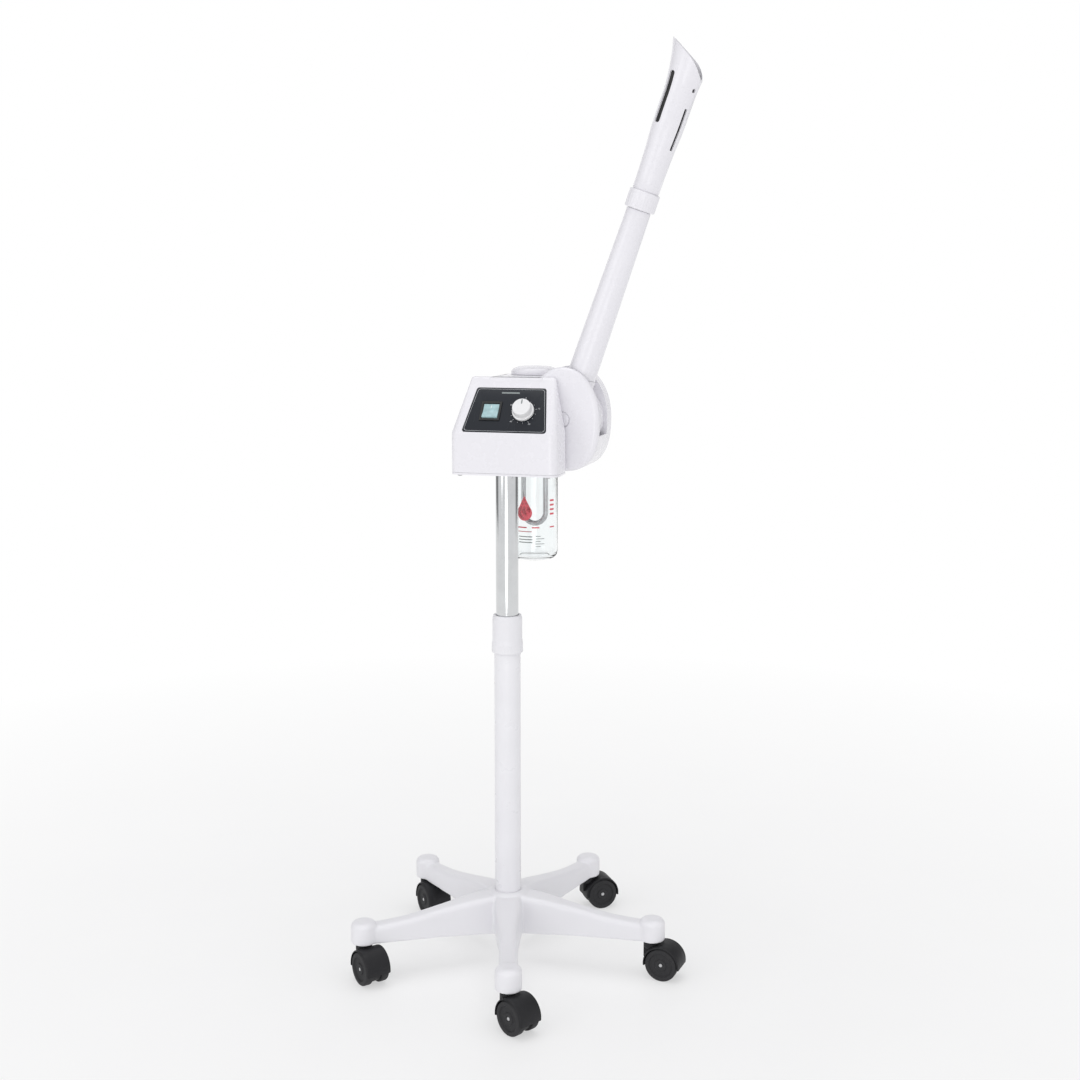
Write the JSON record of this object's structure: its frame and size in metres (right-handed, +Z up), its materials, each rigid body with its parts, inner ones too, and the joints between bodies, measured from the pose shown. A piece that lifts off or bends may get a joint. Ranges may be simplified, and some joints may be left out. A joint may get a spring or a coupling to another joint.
{
  "type": "facial steamer",
  "caption": "Facial steamer on a castered star base: telescopic column, sloping control console, glass water jar and a tilting steam arm with a slanted slotted nozzle.",
  "frame": {"origin": "on the floor, under the middle of the steamer's whole box; the column's axis is 36.5 mm to its -X side", "axes": "+Z up along the column, -Y the front with the control panel, +X the side that carries the arm"},
  "size_m": [0.4868, 0.5224, 1.3913],
  "materials": {
    "white_shell": "gloss moulded",
    "white_base": "gloss moulded nylon",
    "white_paint": "powder coated steel",
    "chrome_tube": "polished",
    "caster_black": "moulded",
    "steel_pin": "turned",
    "bush_black": "moulded",
    "cast_alloy": "cast",
    "panel_black": "gloss film",
    "rocker_teal": "lit window",
    "knob_white": "gloss moulded",
    "clockwork": "moulded",
    "board_green": "fibre board",
    "seal_grey": "silicone",
    "jar_glass": "clear",
    "duct_ivory": "moulded"
  },
  "bodies": {
    "base": {"star_base": "white_base", "lower_tube": "white_paint", "clamp_bush": "bush_black"},
    "collar": {"height_collar": "white_base"},
    "mast": {"inner_tube": "chrome_tube", "tube_guide": "bush_black"},
    "head": {"head_socket": "cast_alloy", "housing_cover": "white_shell", "housing_base": "white_shell", "tower_cap": "white_shell", "control_panel": "panel_black", "rocker_switch_body": "bush_black", "timer_body": "clockwork", "circuit_board": "board_green", "power_inlet": "bush_black", "boiler_plate": "cast_alloy", "jar_gasket": "seal_grey", "heating_element": "steel_pin", "steam_chamber": "cast_alloy", "safety_thermostat": "bush_black", "steam_elbow": "duct_ivory", "arm_housing_front": "white_shell", "arm_housing_rear": "white_shell", "pivot_cap": "white_shell"},
    "rocker": {"power_rocker": "rocker_teal"},
    "knob": {"timer_knob": "knob_white"},
    "jar_nut": {"jar_nut": "white_shell"},
    "jar": {"glass_jar": "jar_glass"},
    "arm": {"arm_hub": "white_shell", "arm_tube": "white_shell", "steam_pipe": "duct_ivory"},
    "nozzle": {"nozzle_ring": "white_shell", "nozzle_shell": "white_shell", "nozzle_liner": "bush_black"},
    "caster_1": {"caster_stem_1": "steel_pin", "caster_hood_1": "caster_black", "caster_axle_1": "steel_pin"},
    "wheel_left_1": {"caster_wheel_left_1": "caster_black"},
    "wheel_right_1": {"caster_wheel_right_1": "caster_black"},
    "caster_2": {"caster_stem_2": "steel_pin", "caster_hood_2": "caster_black", "caster_axle_2": "steel_pin"},
    "wheel_left_2": {"caster_wheel_left_2": "caster_black"},
    "wheel_right_2": {"caster_wheel_right_2": "caster_black"},
    "caster_3": {"caster_stem_3": "steel_pin", "caster_hood_3": "caster_black", "caster_axle_3": "steel_pin"},
    "wheel_left_3": {"caster_wheel_left_3": "caster_black"},
    "wheel_right_3": {"caster_wheel_right_3": "caster_black"},
    "caster_4": {"caster_stem_4": "steel_pin", "caster_hood_4": "caster_black", "caster_axle_4": "steel_pin"},
    "wheel_left_4": {"caster_wheel_left_4": "caster_black"},
    "wheel_right_4": {"caster_wheel_right_4": "caster_black"},
    "caster_5": {"caster_stem_5": "steel_pin", "caster_hood_5": "caster_black", "caster_axle_5": "steel_pin"},
    "wheel_left_5": {"caster_wheel_left_5": "caster_black"},
    "wheel_right_5": {"caster_wheel_right_5": "caster_black"}
  },
  "joints": [
    {"name": "height_slide", "type": "slide", "parent": "base", "child": "mast", "axis": [0, 0, 1], "range_m": [-0.19, 0.11]},
    {"name": "collar_twist", "type": "hinge", "parent": "base", "child": "collar", "pos_m": [-0.0365, 0.0005, 0.515], "axis": [0, 0, 1], "range_deg": [0, 90]},
    {"name": "head_swivel", "type": "hinge", "parent": "mast", "child": "head", "pos_m": [-0.0365, 0.0005, 0.78], "axis": [0, 0, 1], "range_deg": [-170, 170]},
    {"name": "arm_tilt", "type": "hinge", "parent": "head", "child": "arm", "pos_m": [0.0405, 0.0605, 0.839], "axis": [0, 1, 0], "range_deg": [-19.4, 70.6]},
    {"name": "nozzle_turn", "type": "hinge", "parent": "arm", "child": "nozzle", "pos_m": [0.0405, 0.0605, 0.839], "axis": [0.3322, 0, 0.9432], "range_deg": [-170, 170]},
    {"name": "power_rocker_tip", "type": "hinge", "parent": "head", "child": "rocker", "pos_m": [-0.057, -0.01126, 0.85149], "axis": [1, 0, 0], "range_deg": [0, 14]},
    {"name": "timer_knob_turn", "type": "hinge", "parent": "head", "child": "knob", "pos_m": [-0.0065, -0.01289, 0.85265], "axis": [0, 0.8173, -0.5763], "range_deg": [0, 300]},
    {"name": "jar_nut_turn", "type": "hinge", "parent": "head", "child": "jar_nut", "pos_m": [-0.0235, 0.1055, 0.753], "axis": [0, 0, -1], "range_deg": [0, 180]},
    {"name": "jar_drop", "type": "slide", "parent": "head", "child": "jar", "axis": [0, 0, -1], "range_m": [0, 0.14]},
    {"name": "caster_swivel_1", "type": "hinge", "parent": "base", "child": "caster_1", "pos_m": [0.03045, -0.21849, 0.055], "axis": [0, 0, 1], "continuous": true},
    {"name": "wheel_roll_left_1", "type": "hinge", "parent": "caster_1", "child": "wheel_left_1", "pos_m": [0.04741, -0.22909, 0.025], "axis": [0.5299, 0.848, 0], "continuous": true},
    {"name": "wheel_roll_right_1", "type": "hinge", "parent": "caster_1", "child": "wheel_right_1", "pos_m": [0.04741, -0.22909, 0.025], "axis": [0.5299, 0.848, 0], "continuous": true},
    {"name": "caster_swivel_2", "type": "hinge", "parent": "base", "child": "caster_2", "pos_m": [0.19247, -0.0035, 0.055], "axis": [0, 0, 1], "continuous": true},
    {"name": "wheel_roll_left_2", "type": "hinge", "parent": "caster_2", "child": "wheel_left_2", "pos_m": [0.21227, -0.00628, 0.025], "axis": [0.1392, 0.9903, 0], "continuous": true},
    {"name": "wheel_roll_right_2", "type": "hinge", "parent": "caster_2", "child": "wheel_right_2", "pos_m": [0.21227, -0.00628, 0.025], "axis": [0.1392, 0.9903, 0], "continuous": true},
    {"name": "caster_swivel_3", "type": "hinge", "parent": "base", "child": "caster_3", "pos_m": [0.03806, 0.21702, 0.055], "axis": [0, 0, 1], "continuous": true},
    {"name": "wheel_roll_left_3", "type": "hinge", "parent": "caster_3", "child": "wheel_left_3", "pos_m": [0.05444, 0.2285, 0.025], "axis": [-0.5736, 0.8191, 0], "continuous": true},
    {"name": "wheel_roll_right_3", "type": "hinge", "parent": "caster_3", "child": "wheel_right_3", "pos_m": [0.05444, 0.2285, 0.025], "axis": [-0.5736, 0.8191, 0], "continuous": true},
    {"name": "caster_swivel_4", "type": "hinge", "parent": "base", "child": "caster_4", "pos_m": [-0.21939, 0.13832, 0.055], "axis": [0, 0, 1], "continuous": true},
    {"name": "wheel_roll_left_4", "type": "hinge", "parent": "caster_4", "child": "wheel_left_4", "pos_m": [-0.20525, 0.12417, 0.025], "axis": [0.7071, 0.7071, 0], "continuous": true},
    {"name": "wheel_roll_right_4", "type": "hinge", "parent": "caster_4", "child": "wheel_right_4", "pos_m": [-0.20525, 0.12417, 0.025], "axis": [0.7071, 0.7071, 0], "continuous": true},
    {"name": "caster_swivel_5", "type": "hinge", "parent": "base", "child": "caster_5", "pos_m": [-0.22409, -0.13085, 0.055], "axis": [0, 0, 1], "continuous": true},
    {"name": "wheel_roll_left_5", "type": "hinge", "parent": "caster_5", "child": "wheel_left_5", "pos_m": [-0.20876, -0.1437, 0.025], "axis": [0.6428, 0.766, 0], "continuous": true},
    {"name": "wheel_roll_right_5", "type": "hinge", "parent": "caster_5", "child": "wheel_right_5", "pos_m": [-0.20876, -0.1437, 0.025], "axis": [0.6428, 0.766, 0], "continuous": true}
  ]
}
